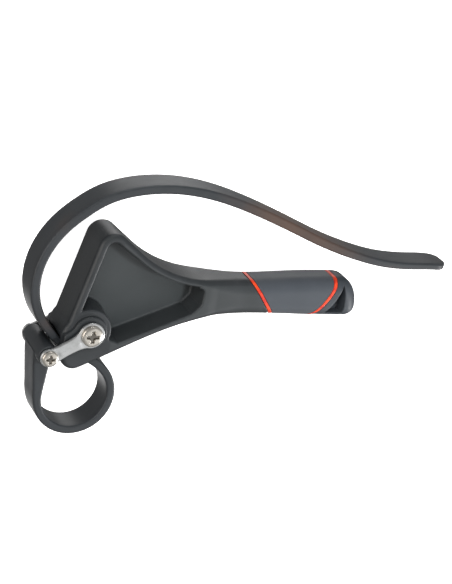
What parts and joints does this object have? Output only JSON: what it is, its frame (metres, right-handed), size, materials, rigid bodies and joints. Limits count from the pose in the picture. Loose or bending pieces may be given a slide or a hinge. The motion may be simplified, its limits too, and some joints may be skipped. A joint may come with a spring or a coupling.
{
  "type": "rubber strap wrench",
  "caption": "Strap wrench with a moulded lever, soft grip, two swinging steel links and a thick rubber strap that grips round objects in its loop.",
  "frame": {"origin": "centre of the bounding box at the lowest level, where the tool lies on its rear screw heads", "axes": "+Z along the main pivot's axis, from the rear link to the front link; +X along the handle towards the butt; +Y towards the head's apex"},
  "size_m": [0.298, 0.174, 0.0485],
  "materials": {
    "hard_plastic": "satin moulded",
    "grip_rubber": "fine matt",
    "strap_rubber": "smooth satin",
    "accent_plastic": "glossy",
    "link_steel": "zinc plated",
    "screw_steel": "nickel plated",
    "bush_bronze": "machined"
  },
  "bodies": {
    "handle": {"handle_body": "hard_plastic", "front_accent_ring": "accent_plastic", "grip_sleeve": "grip_rubber", "rear_accent_ring": "accent_plastic", "butt_cap": "hard_plastic", "strap_loop": "strap_rubber", "strap_slot_run": "strap_rubber", "strap_upper": "strap_rubber", "strap_tail": "strap_rubber", "pivot_bush_front": "bush_bronze", "pivot_bush_rear": "bush_bronze"},
    "links": {"link_front": "link_steel", "link_rear": "link_steel", "pivot_washer_front": "link_steel", "pivot_washer_rear": "link_steel", "cross_washer_front": "link_steel", "cross_washer_rear": "link_steel", "pivot_screw_front": "screw_steel", "pivot_screw_rear": "screw_steel", "cross_screw_front": "screw_steel", "cross_screw_rear": "screw_steel", "pivot_barrel": "screw_steel", "cross_barrel": "screw_steel"},
    "strap_end": {"strap_eye": "strap_rubber", "eye_sleeve": "link_steel"}
  },
  "joints": [
    {"name": "link_swing", "type": "hinge", "parent": "handle", "child": "links", "pos_m": [-0.10798, -0.01195, 0.02426], "axis": [0, 0, 1], "range_deg": [-3.5, 6.5], "deforming": ["strap_loop"]},
    {"name": "eye_swivel", "type": "hinge", "parent": "links", "child": "strap_end", "pos_m": [-0.13408, -0.02733, 0.02426], "axis": [0, 0, 1], "range_deg": [-7, 4]}
  ],
  "couplings": [
    {"joint": "eye_swivel", "follows": "link_swing", "ratio": -1}
  ]
}
